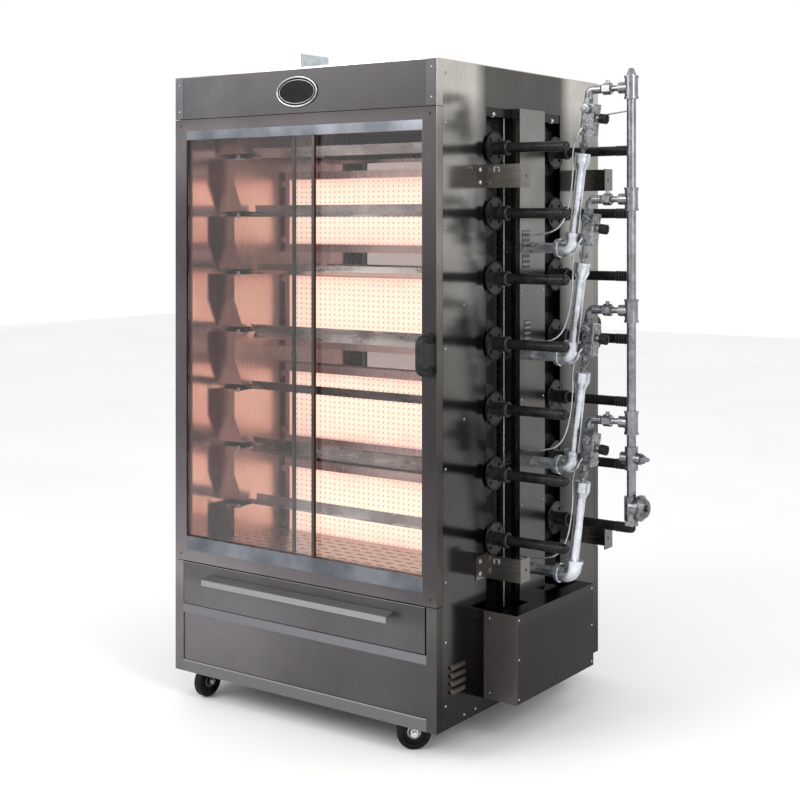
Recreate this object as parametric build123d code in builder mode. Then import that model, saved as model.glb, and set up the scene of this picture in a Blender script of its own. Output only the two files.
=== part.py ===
from build123d import *
import math
import os

# Floor-standing double-sided gas rotisserie. Millimetres, +Z up, the floor at z = 0.
# The row of grips, the gas pipes and the drive box are on the +X side; the front faces -Y.

os.makedirs("parts", exist_ok=True)

# Overall size
cabinet_width = 1016
cabinet_depth = 960
cabinet_height = 1980
skirt_z = 82
plumbing_reach = 418
hinge_reach = 14
half_span = (cabinet_width + plumbing_reach + hinge_reach) / 2
left_x = hinge_reach - half_span
right_x = left_x + cabinet_width
centre_x = (left_x + right_x) / 2
front_y = -cabinet_depth / 2
sheet = 2

# Doors
door_depth = 30
body_y = front_y + door_depth
door_low = 434
door_high = 1846
door_gap = 2
door_stile = 49
glass_low = 515
glass_high = 1779
groove = 5
glass = 4
outer_track_y = front_y + 9
inner_track_y = front_y + 23
left_pane_edge = right_x - 446
right_pane_edge = right_x - 542

# Frame and inner walls
post = 30
deck_z = 125
ceiling_z = 1832
floor_edge_z = 484
floor_mid_z = 464
floor_mid_y = 34
wall_low = 436
rack_x = left_x + 61
wall_x = right_x - 62

# Spits
levels = 7
top_level = 1737
level_pitch = 193
spit_y = 182
spindle_r = 12
journal_r = 8
chain_x = right_x - 34
chain_width = 8
chain_pitch_r = 78
chain_half = 6
sprocket_r = chain_pitch_r - chain_half - 0.5
drive_z = 240

# Burners
burner_count = 4
low_burner = 571
burner_pitch = 327
tile_height = 228
burner_rim = 22
burner_half = 25
inlet_drop = 113

# Gas pipes
manifold_reach = 362
manifold_x = right_x + manifold_reach
elbow_x = right_x + 165
train_lean = math.radians(7.3)
valve_top = 477
leg_r = 16.5

# Drive box, duct and brackets on the right side
box_reach = 113
box_half = 234
box_low = 118
box_high = 376
duct_reach = 28
duct_half = 75
duct_high = 1861
slot_inner = duct_half
slot_outer = 221

# Casters
wheel_r = 50
wheel_half = 15
trail = 35
caster_in_x = 95
caster_in_y = 84

level_z = [top_level - level_pitch * i for i in range(levels)]
burner_z = [low_burner + burner_pitch * i for i in range(burner_count)]


def block(x, y, z, mode=Mode.ADD):
    """A box between two limits on each axis."""
    with Locations(((x[0] + x[1]) / 2, (y[0] + y[1]) / 2, (z[0] + z[1]) / 2)):
        Box(x[1] - x[0], y[1] - y[0], z[1] - z[0], mode=mode)


def rod(start, radius, length, direction=(0, 0, 1), mode=Mode.ADD):
    """A round bar from a start point along a direction."""
    with BuildSketch(Plane(origin=start, z_dir=direction)) as section:
        Circle(radius)
    extrude(section.sketch, amount=length, mode=mode)


def cone(start, radius, tip_radius, length, direction=(0, 0, 1)):
    """A round taper from a start point along a direction."""
    end = Vector(*start) + Vector(*direction).normalized() * length
    with BuildSketch(Plane(origin=start, z_dir=direction)) as base:
        Circle(radius)
    with BuildSketch(Plane(origin=end, z_dir=direction)) as tip:
        Circle(tip_radius)
    loft([base.sketch, tip.sketch])


def hexagon(start, radius, length, direction=(0, 0, 1)):
    """A six-sided wrench flat from a start point along a direction."""
    with BuildSketch(Plane(origin=start, z_dir=direction)) as section:
        RegularPolygon(radius, 6)
    extrude(section.sketch, amount=length)


def finish(builder, name):
    """Label a finished piece and write it."""
    builder.part.label = name
    export_step(builder.part, f"parts/{name}.step")


def both(low, high):
    """The same stretch on the front (-Y) and on the rear (+Y)."""
    return [(-high, -low), (low, high)]


# ---------------------------------------------------------------- frame and shell

left_post = (left_x + sheet, left_x + sheet + post)
right_post = (right_x - sheet - post, right_x - sheet)
frame_y = -body_y - sheet
runner_z = 304.5
mid_rail = (270, 296)
deck_rail = (deck_z, deck_z + 25)
angle_sheet = 3

with BuildPart() as base_frame:
    for y in both(frame_y - post, frame_y):
        for x in (left_post, right_post):
            block(x, y, (deck_z, ceiling_z))
            hollow_x = (x[0] + angle_sheet, x[1]) if x is left_post else (x[0], x[1] - angle_sheet)
            hollow_y = (y[0], y[1] - angle_sheet) if y[0] > 0 else (y[0] + angle_sheet, y[1])
            block(hollow_x, hollow_y, (deck_rail[1], ceiling_z + 1), mode=Mode.SUBTRACT)
        block((left_post[0], right_post[1]), y, deck_rail)
        block((left_post[0], right_post[1]), y, mid_rail)
        caster_deck = both(frame_y - 108, frame_y - 48)[y[0] > 0]
        block((left_post[0], right_post[1]), caster_deck, (deck_z, deck_z + 6))
    for x in (left_post, right_post):
        block(x, (-frame_y, frame_y), deck_rail)
    for x in ((left_x + 60, left_x + 100), (right_x - 100, right_x - 66)):
        block(x, (-frame_y, frame_y), (mid_rail[1], runner_z))
finish(base_frame, "base_frame")

hinge_z = (560, 1110, 1660)
hinge_axis_x = left_x - hinge_reach / 2
hinge_r = hinge_reach / 2
hinge_pin_r = 4
knuckle = 30

with BuildPart() as left_side_panel:
    block((left_x, left_x + sheet), (body_y, -body_y), (skirt_z, cabinet_height - sheet))
    for side in (-1, 1):
        for z in hinge_z:
            rod((hinge_axis_x, side * -body_y, z), hinge_r, knuckle)
            rod((hinge_axis_x, side * -body_y, z), hinge_pin_r, 2 * knuckle - 4)
            leaf_y = sorted((side * -body_y, side * (-body_y - 34)))
            block((left_x - 2.5, left_x), leaf_y, (z, z + knuckle))
finish(left_side_panel, "left_side_panel")

with BuildPart() as right_side_panel:
    block((right_x - sheet, right_x), (body_y, -body_y), (skirt_z, cabinet_height - sheet))
    for y in both(slot_inner, slot_outer):
        block((right_x - 5, right_x + 5), y, (150, 1858), mode=Mode.SUBTRACT)
    for i in range(4):
        louvre = (178 + 23 * i, 178 + 23 * i + 9)
        block((right_x - 5, right_x + 5), (front_y + 66, front_y + 139), louvre, mode=Mode.SUBTRACT)
    for z in burner_z:
        rod((right_x - 5, 0, z - inlet_drop), leg_r + 1.5, 10, (1, 0, 0), mode=Mode.SUBTRACT)
finish(right_side_panel, "right_side_panel")

flue_x = (right_x - 900, right_x - 500)
flue_tall_x = (right_x - 900, right_x - 830)
flue_half = 75
flue_low = 60
flue_high = 105

with BuildPart() as roof_box:
    inner_x = (left_x + sheet, right_x - sheet)
    block(inner_x, (-frame_y, frame_y), (ceiling_z, cabinet_height - sheet))
    hollow_x = (inner_x[0] + sheet, inner_x[1] - sheet)
    hollow_z = (ceiling_z + sheet, cabinet_height - sheet)
    block(hollow_x, (sheet - frame_y, frame_y - sheet), hollow_z, mode=Mode.SUBTRACT)
    block((left_x, right_x), (front_y, -front_y), (cabinet_height - sheet, cabinet_height))
    flue_hole = (flue_tall_x[0] + 6, flue_tall_x[1] - 6)
    hole_z = (ceiling_z - 5, cabinet_height + 5)
    block(flue_hole, (6 - flue_half, flue_half - 6), hole_z, mode=Mode.SUBTRACT)
finish(roof_box, "roof_box")

with BuildPart() as flue_collar:
    block(flue_x, (-flue_half, flue_half), (cabinet_height, cabinet_height + flue_low))
    block(flue_tall_x, (-flue_half, flue_half), (cabinet_height, cabinet_height + flue_high))
    low_hollow = (flue_tall_x[1], flue_x[1] - sheet)
    inner_half = flue_half - sheet
    low_top = cabinet_height + flue_low - sheet
    block(low_hollow, (-inner_half, inner_half), (cabinet_height, low_top), mode=Mode.SUBTRACT)
    spigot = (flue_tall_x[0] + sheet, flue_tall_x[1] - sheet)
    spigot_z = (cabinet_height, cabinet_height + flue_high + 5)
    block(spigot, (-inner_half, inner_half), spigot_z, mode=Mode.SUBTRACT)
finish(flue_collar, "flue_collar")

header_low = door_high
with BuildPart() as header_panels:
    for side in (-1, 1):
        outer = sorted((side * -front_y, side * -body_y))
        block((left_x, right_x), outer, (header_low, cabinet_height - sheet))
        inner = sorted((side * (-front_y - sheet), side * -body_y))
        inside_x = (left_x + sheet, right_x - sheet)
        inside_z = (header_low + sheet, cabinet_height - 2 * sheet)
        block(inside_x, inner, inside_z, mode=Mode.SUBTRACT)
finish(header_panels, "header_panels")

badge_z = 1910
with BuildPart() as badge:
    with BuildSketch(Plane(origin=(centre_x, front_y, badge_z), x_dir=(1, 0, 0), z_dir=(0, -1, 0))):
        Ellipse(80, 47.5)
    extrude(amount=3)
finish(badge, "badge")

lower_stile = 36
drawer_z = (298, door_low)
panel_z = (119, 270)


def fascia(side, openings, panels):
    """A folded lower frame with open-backed members, and panels set a little behind its face."""
    face = Plane(origin=(0, side * -front_y, 0), x_dir=(1, 0, 0), z_dir=(0, -1, 0))
    depth = door_depth if side > 0 else -door_depth
    with BuildPart() as lower:
        with BuildSketch(face) as outline:
            with Locations((centre_x, (skirt_z + door_low) / 2)):
                Rectangle(cabinet_width, door_low - skirt_z)
            for low, high in openings:
                with Locations((centre_x, (low + high) / 2)):
                    Rectangle(cabinet_width - 2 * lower_stile, high - low, mode=Mode.SUBTRACT)
        extrude(amount=depth)
        back = -sheet if side < 0 else sheet
        with BuildSketch(face.offset(back)):
            add(outline.sketch_local)
            offset(amount=-sheet, mode=Mode.REPLACE)
        extrude(amount=depth, mode=Mode.SUBTRACT)
        behind_y = sorted((side * (-front_y - sheet), side * (-body_y - 1)))
        behind_x = (left_x + sheet, right_x - sheet)
        block(behind_x, behind_y, (skirt_z - 1, panel_z[0] - sheet), mode=Mode.SUBTRACT)
        for low, high in panels:
            skin = sorted((side * (-front_y - 3), side * (-front_y - 3 - sheet)))
            panel_x = (left_x + lower_stile - sheet, right_x - lower_stile + sheet)
            block(panel_x, skin, (low - sheet, high + sheet))
    return lower


front_fascia = fascia(-1, [(drawer_z[0], drawer_z[1] + 20), panel_z], [panel_z])
finish(front_fascia, "front_lower_fascia")
rear_fascia = fascia(1, [(panel_z[0], drawer_z[1] - 38)], [(panel_z[0], drawer_z[1] - 38)])
finish(rear_fascia, "rear_lower_fascia")

# ---------------------------------------------------------------- oven interior

rack_front = 268
rack_back = 228
seat_r = journal_r + 0.5
flange_gap = 0.2


def floor_top(y):
    """Height of the sloping drip floor at a distance y from the middle."""
    share = (y - floor_mid_y) / (frame_y - floor_mid_y)
    return floor_mid_z + share * (floor_edge_z - floor_mid_z)


def rack_outline(side):
    """Half of the rack plate: a toothed edge with one open seat at each level."""
    points = [(0, floor_mid_z), (side * floor_mid_y, floor_mid_z)]
    points += [(side * rack_front, floor_top(rack_front))]
    for z in reversed(level_z):
        points += [(side * rack_front, z - seat_r), (side * (spit_y - seat_r), z - seat_r)]
        points += [(side * (spit_y - seat_r), z + seat_r), (side * rack_back, z + seat_r)]
        points += [(side * rack_front, min(z + 100, ceiling_z - 8))]
    points += [(side * rack_front, ceiling_z), (0, ceiling_z)]
    return points


with BuildPart() as left_rack:
    for side in (-1, 1):
        with BuildSketch(Plane(origin=(rack_x, 0, 0), x_dir=(0, 1, 0), z_dir=(1, 0, 0))):
            with BuildLine():
                Polyline(*rack_outline(side), close=True)
            make_face()
        extrude(amount=sheet)
    flange_x = (left_x + sheet, rack_x - flange_gap)
    for y in both(rack_back - 8, rack_back - 6):
        block(flange_x, y, (floor_edge_z, ceiling_z))
        for z in level_z:
            block(flange_x, y, (z - seat_r, z + seat_r), mode=Mode.SUBTRACT)
finish(left_rack, "left_rack")

with BuildPart() as right_wall:
    block((wall_x, wall_x + sheet), (-frame_y, frame_y), (wall_low, ceiling_z))
    for z in level_z:
        for y in (-spit_y, spit_y):
            rod((wall_x - 5, y, z), spindle_r + 1, 12, (1, 0, 0), mode=Mode.SUBTRACT)
    for z in burner_z:
        rod((wall_x - 5, 0, z - inlet_drop), leg_r + 1.5, 12, (1, 0, 0), mode=Mode.SUBTRACT)
finish(right_wall, "right_wall")

bearing_gap = 0.05
with BuildPart() as spindle_bearings:
    for z in level_z:
        for y in (-spit_y, spit_y):
            rod((wall_x + sheet, y, z), 28, 3, (1, 0, 0))
            rod((wall_x + sheet, y, z), 20, 12, (1, 0, 0))
            rod((wall_x, y, z), spindle_r + bearing_gap, 20, (1, 0, 0), mode=Mode.SUBTRACT)
finish(spindle_bearings, "spindle_bearings")

floor_slope = math.atan2(floor_edge_z - floor_mid_z, frame_y - floor_mid_y)
floor_run = math.hypot(floor_edge_z - floor_mid_z, frame_y - floor_mid_y)

with BuildPart() as drip_floor:
    for side in (-1, 1):
        tilted = (0, side * math.cos(floor_slope), math.sin(floor_slope))
        normal = (0, -side * math.sin(floor_slope), math.cos(floor_slope))
        start = (0, side * floor_mid_y, floor_mid_z)
        with BuildSketch(Plane(origin=start, x_dir=tilted, z_dir=normal)):
            with Locations((floor_run / 2, -side * (left_x + sheet + wall_x) / 2)):
                Rectangle(floor_run, wall_x - left_x - sheet)
            with Locations((floor_run, -side * (left_x + sheet))):
                Rectangle(2 * post + 6, 2 * post + 6, mode=Mode.SUBTRACT)
            with Locations((floor_run / 2, -side * (left_x + wall_x) / 2)):
                with GridLocations(44, 48, 8, 18):
                    SlotOverall(30, 8, rotation=90, mode=Mode.SUBTRACT)
        extrude(amount=-3)
finish(drip_floor, "drip_floor")

burner_left = rack_x + sheet + 14
burner_right = wall_x
end_block = 44
burner_sheet = 3

with BuildPart() as burner_housings:
    for z in burner_z:
        half = tile_height / 2 + burner_rim
        block((burner_left, burner_right), (-burner_half, burner_half), (z - half, z + half))
        plenum_x = (burner_left + burner_rim, burner_right - end_block)
        plenum_z = (z - tile_height / 2, z + tile_height / 2)
        block(plenum_x, (-burner_half - 5, burner_half + 5), plenum_z, mode=Mode.SUBTRACT)
        trough_y = (burner_sheet - burner_half, burner_half - burner_sheet)
        for trough_z in both(tile_height / 2 + burner_sheet, half + 1):
            trough = (z + trough_z[0], z + trough_z[1])
            block((burner_left + burner_sheet, burner_right + 1), trough_y, trough, mode=Mode.SUBTRACT)
        end_x = (plenum_x[1] + burner_sheet, burner_right + 1)
        end_z = (z - inlet_drop + 2 * leg_r, plenum_z[1] - burner_sheet)
        block(end_x, trough_y, end_z, mode=Mode.SUBTRACT)
        rod((burner_right - 30, 0, z - inlet_drop), leg_r + 0.5, 40, (1, 0, 0), mode=Mode.SUBTRACT)
        throat_x = (plenum_x[1] - 5, burner_right - 20)
        block(throat_x, (-12, 12), (z - inlet_drop, z - 60), mode=Mode.SUBTRACT)
        for tab_z in (z - half + 30, z + half - 50):
            block((rack_x + sheet, burner_left), (-20, 20), (tab_z, tab_z + 20))
finish(burner_housings, "burner_housings")

tile_depth = 9
with BuildPart() as burner_tiles:
    for z in burner_z:
        for y in both(burner_half - 2 - tile_depth, burner_half - 2):
            tile_x = (burner_left + burner_rim, burner_right - end_block)
            block(tile_x, y, (z - tile_height / 2, z + tile_height / 2))
finish(burner_tiles, "burner_tiles")

# ---------------------------------------------------------------- doors and glass


def door_frame(side):
    """A glazed door: stiles and rails open at the back, with two grooves for the panes."""
    face = side * -front_y
    back = side * (-body_y + 1)
    across = sorted((face, back))
    with BuildPart() as frame:
        block((left_x, right_x), across, (door_low + door_gap, door_high - door_gap))
        window_x = (left_x + door_stile, right_x - door_stile)
        window_y = (across[0] - 5, across[1] + 5)
        block(window_x, window_y, (glass_low, glass_high), mode=Mode.SUBTRACT)
        for track in (outer_track_y, inner_track_y):
            middle = side * -track
            slot_y = (middle - groove / 2, middle + groove / 2)
            block(window_x, slot_y, (glass_low - 6, glass_high + 12), mode=Mode.SUBTRACT)
        hollow_y = sorted((side * (-front_y - 3), back + side * -5))
        for x in ((left_x + 3, left_x + door_stile - 3), (right_x - door_stile + 3, right_x - 3)):
            block(x, hollow_y, (door_low + 5, door_high - 5), mode=Mode.SUBTRACT)
        for z in ((door_low + 5, door_low + 36), (door_high - 36, door_high - 5)):
            block((window_x[0] + 3, window_x[1] - 3), hollow_y, z, mode=Mode.SUBTRACT)
        for z in hinge_z:
            axis_y = side * -body_y
            leaf_y = sorted((axis_y, axis_y + side * 24))
            start = z + knuckle + 0.5
            rod((hinge_axis_x, axis_y, start), hinge_r, knuckle)
            block((left_x - 2.5, left_x), leaf_y, (start, start + knuckle))
            rod((hinge_axis_x, axis_y, start - 1), hinge_pin_r + 0.05, knuckle - 2, mode=Mode.SUBTRACT)
    return frame


def pane(side, track, x):
    """One sheet of glass standing in its groove."""
    middle = side * -track
    with BuildPart() as sheet_of_glass:
        block(x, (middle - glass / 2, middle + glass / 2), (glass_low - 5.5, glass_high + 6))
    return sheet_of_glass


handle_x = right_x - 26
handle_z = (1097, 1191)
handle_reach = 60
handle_r = 11


def door_handle(side):
    """A bow handle swept round two bends, standing on two feet."""
    face = side * -front_y
    out = face + side * (handle_reach - handle_r)
    with BuildPart() as handle:
        with BuildLine() as bow:
            corners = [(handle_x, face, handle_z[0]), (handle_x, out, handle_z[0])]
            corners += [(handle_x, out, handle_z[1]), (handle_x, face, handle_z[1])]
            FilletPolyline(*corners, radius=18)
        with BuildSketch(Plane(origin=bow.line @ 0, z_dir=bow.line % 0)):
            Circle(handle_r)
        sweep(path=bow.line)
        for z in handle_z:
            rod((handle_x, face, z), handle_r + 4, 6, (0, side, 0))
    return handle


stop = 1
left_pane_x = (left_x + door_stile + stop, left_pane_edge)
right_pane_x = (right_pane_edge, right_x - door_stile - stop)
for side, name in ((-1, "front"), (1, "rear")):
    finish(door_frame(side), f"{name}_door_frame")
    finish(door_handle(side), f"{name}_door_handle")
    finish(pane(side, outer_track_y, left_pane_x), f"{name}_left_pane")
    finish(pane(side, inner_track_y, right_pane_x), f"{name}_right_pane")

# ---------------------------------------------------------------- drip drawer

pull_length = 717
pull_reach = 38
pull_z = 404
pull_lip = 26
pull_sheet = 2.5
tray_z = (305, 412)

with BuildPart() as drip_drawer:
    front_x = (left_x + lower_stile + 2, right_x - lower_stile - 5)
    block(front_x, (front_y, front_y + 18), (drawer_z[0] + 2, drawer_z[1] - 2))
    hollow_x = (front_x[0] + sheet, front_x[1] - sheet)
    hollow_z = (drawer_z[0] + 2 + sheet, drawer_z[1] - 2 - sheet)
    block(hollow_x, (front_y + sheet, front_y + 16), hollow_z, mode=Mode.SUBTRACT)
    tray_x = (left_x + 75, right_x - 75)
    block(tray_x, (front_y + 18, 230), tray_z)
    inside = (tray_x[0] + sheet, tray_x[1] - sheet)
    block(inside, (front_y + 20, 228), (tray_z[0] + sheet, tray_z[1] + 5), mode=Mode.SUBTRACT)
    with BuildSketch(Plane(origin=(centre_x - pull_length / 2, 0, 0), x_dir=(0, 1, 0), z_dir=(1, 0, 0))):
        with BuildLine():
            lip_y = front_y - pull_reach
            bend = [(front_y, pull_z), (lip_y, pull_z - 8), (lip_y, pull_z - pull_lip)]
            bend += [(lip_y + pull_sheet, pull_z - pull_lip), (lip_y + pull_sheet, pull_z - 10)]
            bend += [(front_y, pull_z - pull_sheet)]
            Polyline(*bend, close=True)
        make_face()
    extrude(amount=pull_length)
finish(drip_drawer, "drip_drawer")

# ---------------------------------------------------------------- spits and drive

blade_leg = 34
blade_sheet = 3
grip_r = 15
hub_r = 50


def spit(y, z, turn, reach):
    """Angle-iron blade with a pointed journal, spindle, sprocket, hub and grip, all on one axis."""
    start = left_x + 80
    with BuildPart() as body:
        angle = math.radians(turn)
        across = (0, math.cos(angle), math.sin(angle))
        with BuildSketch(Plane(origin=(start, y, z), x_dir=across, z_dir=(1, 0, 0))):
            with BuildLine():
                legs = [(-5, -5), (blade_leg - 5, -5), (blade_leg - 5, -5 + blade_sheet)]
                legs += [(-5 + blade_sheet, -5 + blade_sheet), (-5 + blade_sheet, blade_leg - 5)]
                legs += [(-5, blade_leg - 5)]
                Polyline(*legs, close=True)
            make_face()
        extrude(amount=wall_x - 10 - start)
        rod((left_x + 50, y, z), journal_r, 64, (1, 0, 0))
        cone((left_x + 50, y, z), journal_r, 1, 22, (-1, 0, 0))
        rod((wall_x - 30, y, z), spindle_r, right_x + 50 - wall_x + 30, (1, 0, 0))
        rod((chain_x, y, z), sprocket_r, chain_width, (1, 0, 0))
        rod((chain_x - 8, y, z), 24, chain_width + 14, (1, 0, 0))
        rod((right_x + 1, y, z), hub_r, 6, (1, 0, 0))
        rod((right_x + 6, y, z), 20, 34, (1, 0, 0))
        rod((right_x + 46, y, z), grip_r, reach - 46 - grip_r, (1, 0, 0))
        with Locations((right_x + reach - grip_r, y, z)):
            Sphere(grip_r)
    return body


blade_turn = (20, 100, 65, 150, 35, 120, 80)
for i in range(levels):
    finish(spit(-spit_y, level_z[i], blade_turn[i], 257), f"front_spit_{i + 1}")
    finish(spit(spit_y, level_z[i], -blade_turn[i], 285), f"rear_spit_{i + 1}")

with BuildPart() as drive_chains:
    for y in (-spit_y, spit_y):
        middle = (chain_x, y, (drive_z + top_level) / 2)
        with BuildSketch(Plane(origin=middle, x_dir=(0, 0, 1), z_dir=(1, 0, 0))):
            SlotCenterToCenter(top_level - drive_z, 2 * (chain_pitch_r + chain_half))
            SlotCenterToCenter(top_level - drive_z, 2 * (chain_pitch_r - chain_half), mode=Mode.SUBTRACT)
        extrude(amount=chain_width)
finish(drive_chains, "drive_chains")

motor_shaft_r = 10
gearbox = (right_x + 5, right_x + 55)


def drive_sprocket(y):
    """Driving sprocket on its stub shaft."""
    with BuildPart() as sprocket:
        rod((chain_x, y, drive_z), sprocket_r, chain_width, (1, 0, 0))
        rod((chain_x - 8, y, drive_z), 24, chain_width + 14, (1, 0, 0))
        rod((chain_x - 8, y, drive_z), motor_shaft_r, gearbox[1] - 10 - chain_x + 8, (1, 0, 0))
    return sprocket


finish(drive_sprocket(-spit_y), "front_drive_sprocket")
finish(drive_sprocket(spit_y), "rear_drive_sprocket")

with BuildPart() as drive_motors:
    for side in (-1, 1):
        y = side * spit_y
        foot_y = sorted((side * (slot_inner - 12), side * (box_half - sheet - 1)))
        block((right_x, right_x + 5), foot_y, (drive_z - 50, drive_z + 50))
        block(gearbox, (y - 45, y + 45), (drive_z - 45, drive_z + 45))
        rod((gearbox[1], y, drive_z), 38, 50, (1, 0, 0))
        rod((right_x - 5, y, drive_z), motor_shaft_r + 0.05, 55, (1, 0, 0), mode=Mode.SUBTRACT)
finish(drive_motors, "drive_motors")

with BuildPart() as drive_box:
    block((right_x, right_x + box_reach), (-box_half, box_half), (box_low, box_high))
    inside_x = (right_x - 1, right_x + box_reach - sheet)
    inside_z = (box_low + sheet, box_high - sheet)
    block(inside_x, (sheet - box_half, box_half - sheet), inside_z, mode=Mode.SUBTRACT)
    for y in both(slot_inner, slot_outer):
        block((right_x, right_x + 60), y, (box_high - 5, box_high + 5), mode=Mode.SUBTRACT)
finish(drive_box, "drive_box")

with BuildPart() as centre_duct:
    block((right_x, right_x + duct_reach), (-duct_half, duct_half), (box_high, duct_high))
    inside_y = (sheet - duct_half, duct_half - sheet)
    inside_z = (box_high - 1, duct_high - sheet)
    block((right_x, right_x + duct_reach - sheet), inside_y, inside_z, mode=Mode.SUBTRACT)
    for z in burner_z:
        rod((right_x, 0, z - inlet_drop), leg_r + 1.5, 40, (1, 0, 0), mode=Mode.SUBTRACT)
finish(centre_duct, "centre_duct")

bracket_faces = ((-1, front_y + 246), (1, front_y + 819))
bracket_z = ((473, 541), (1618, 1687))
bracket_reach = 126
bracket_sheet = 3
bracket_foot = 45
bracket_end = 52
bracket_hole_in = 30
bracket_hole_r = 4.5

with BuildPart() as cover_brackets:
    for side, face in bracket_faces:
        foot_y = sorted((face, face + side * bracket_foot))
        plate_y = sorted((face, face - side * bracket_sheet))
        end_y = sorted((face, face - side * bracket_end))
        end_x = (right_x + bracket_reach - bracket_sheet, right_x + bracket_reach)
        for z in bracket_z:
            block((right_x, right_x + bracket_sheet), foot_y, z)
            block((right_x, right_x + bracket_reach), plate_y, z)
            block(end_x, end_y, z)
            hole = (end_x[0] - 5, face - side * bracket_hole_in, (z[0] + z[1]) / 2)
            rod(hole, bracket_hole_r, 20, (1, 0, 0), mode=Mode.SUBTRACT)
finish(cover_brackets, "cover_brackets")

# ---------------------------------------------------------------- gas pipes

lean = Vector(math.sin(train_lean), 0, math.cos(train_lean))
outward = Vector(math.cos(train_lean), 0, -math.sin(train_lean))


def along(z, distance):
    """A point on the leaning axis of the gas train whose elbow is at height z."""
    return Vector(elbow_x, 0, z) + lean * distance


def pipe_run(corners, radius, bend, mode=Mode.ADD):
    """A round pipe swept round the bends of its path."""
    with BuildLine() as route:
        FilletPolyline(*corners, radius=bend)
    with BuildSketch(Plane(origin=route.line @ 0, z_dir=route.line % 0)) as section:
        Circle(radius)
    sweep(section.sketch, path=route.line, mode=mode)


with BuildPart() as burner_inlets:
    for burner in burner_z:
        z = burner - inlet_drop
        start = Vector(burner_right - 22, 0, z)
        corner = Vector(elbow_x, 0, z)
        pipe_run([corner - Vector(48, 0, 0), corner, along(z, 44)], 26, 28)
        for ring, way in ((corner - Vector(50, 0, 0), (1, 0, 0)), (along(z, 36), tuple(lean))):
            rod(tuple(ring), 29, 11, way)
        rod(tuple(start), leg_r, elbow_x - 45 - start.X, (1, 0, 0))
        rod(tuple(along(z, 40)), 15, 216, tuple(lean))
        cone(tuple(along(z, 236)), 15, 24, 20, tuple(lean))
        rod(tuple(along(z, 256)), 24, 30, tuple(lean))
        pipe_run([start - Vector(5, 0, 0), corner, along(z, 262)], 11.5, 30, mode=Mode.SUBTRACT)
finish(burner_inlets, "burner_inlets")

tee_boss = 38
valve_width = 42
valve_offset = 13
knob_reach = valve_offset + valve_width / 2 + 12

with BuildPart() as gas_valves:
    for burner in burner_z:
        z = burner - inlet_drop
        rod(tuple(along(z, 286)), 7, 60, tuple(lean))
        hexagon(tuple(along(z, 300)), 15, 18, tuple(lean))
        foot = along(z, 340) + outward * valve_offset
        with BuildSketch(Plane(origin=foot, x_dir=outward, z_dir=lean)):
            RectangleRounded(valve_width, 46, 6)
        extrude(amount=96)
        rod(tuple(along(z, 395)), 12, knob_reach - 0.5, tuple(outward))
        hexagon(tuple(along(z, 436)), 16, 16, tuple(lean))
        top = along(z, valve_top)
        pipe_run([along(z, 445), top, Vector(top.X + 40, 0, top.Z)], 13, 16)
        rod((top.X + 20, 0, top.Z), 9, manifold_x - tee_boss - top.X - 20, (1, 0, 0))
        hexagon((top.X + 46, 0, top.Z), 18, 26, (1, 0, 0))
        rod((top.X + 59, 0, top.Z), 6, 26, (0, 0, 1))
finish(gas_valves, "gas_valves")


def valve_knob(z):
    """Fluted knob on the outward side of a gas valve."""
    face = along(z, 395) + outward * knob_reach
    with BuildPart() as knob:
        with BuildSketch(Plane(origin=face, x_dir=lean, z_dir=outward)):
            Circle(15)
            with PolarLocations(16.5, 8):
                Circle(3.2, mode=Mode.SUBTRACT)
        extrude(amount=22)
        with BuildSketch(Plane(origin=face + outward * 22, x_dir=lean, z_dir=outward)):
            Rectangle(22, 5)
        extrude(amount=4)
    return knob


for i, burner in enumerate(burner_z):
    finish(valve_knob(burner - inlet_drop), f"valve_knob_{i + 1}")

manifold_low = 715
manifold_high = 1950
cross_z = 827
tee_half = 34

with BuildPart() as gas_manifold:
    rod((manifold_x, 0, manifold_low), 13.5, manifold_high - manifold_low)
    for burner in burner_z:
        tee_z = along(burner - inlet_drop, valve_top).Z
        rod((manifold_x, 0, tee_z - tee_half), 19.5, 2 * tee_half)
        for end in (tee_z - tee_half, tee_z + tee_half - 6):
            rod((manifold_x, 0, end), 21.5, 6)
        rod((manifold_x - tee_boss, 0, tee_z), 17, tee_boss, (1, 0, 0))
    rod((manifold_x, 0, cross_z - tee_half), 19.5, 2 * tee_half)
    for way in (-1, 1):
        rod((manifold_x, 0, cross_z), 17, 32, (way, 0, 0))
    hexagon((manifold_x + 30, 0, cross_z), 13, 12, (1, 0, 0))
    cone((manifold_x + 42, 0, cross_z), 9, 5, plumbing_reach - manifold_reach - 42, (1, 0, 0))
    cone((manifold_x, 0, manifold_high), 14, 7, 18)
    bore_high = manifold_high - 20
    rod((manifold_x, 0, manifold_low - 1), 10.5, bore_high - manifold_low, mode=Mode.SUBTRACT)
finish(gas_manifold, "gas_manifold")

inlet_low = 631
inlet_bore_r = 13.2
with BuildPart() as gas_regulator:
    rod((manifold_x, 0, inlet_low + 14), 21, manifold_low - inlet_low - 14)
    hexagon((manifold_x, 0, inlet_low), 22, 16)
    rod((manifold_x, 0, 684), 26, 30, (1, 0, 0))
    rod((manifold_x + 26, 0, 684), 38, 8, (1, 0, 0))
    cone((manifold_x + 34, 0, 684), 36, 24, 16, (1, 0, 0))
    rod((manifold_x + 48, 0, 684), 10, 8, (1, 0, 0))
    rod((manifold_x, 0, inlet_low - 1), inlet_bore_r, 21, mode=Mode.SUBTRACT)
finish(gas_regulator, "gas_regulator")

# ---------------------------------------------------------------- casters

axle_r = 5
fork_inner = 18
fork_sheet = 3
fork_top = 114.5


def wheel_directions(turn):
    """Unit vectors from the swivel to the wheel, and along the axle."""
    angle = math.radians(turn)
    toward = Vector(math.cos(angle), math.sin(angle), 0)
    axle = Vector(math.sin(angle), -math.cos(angle), 0)
    return toward, axle


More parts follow.
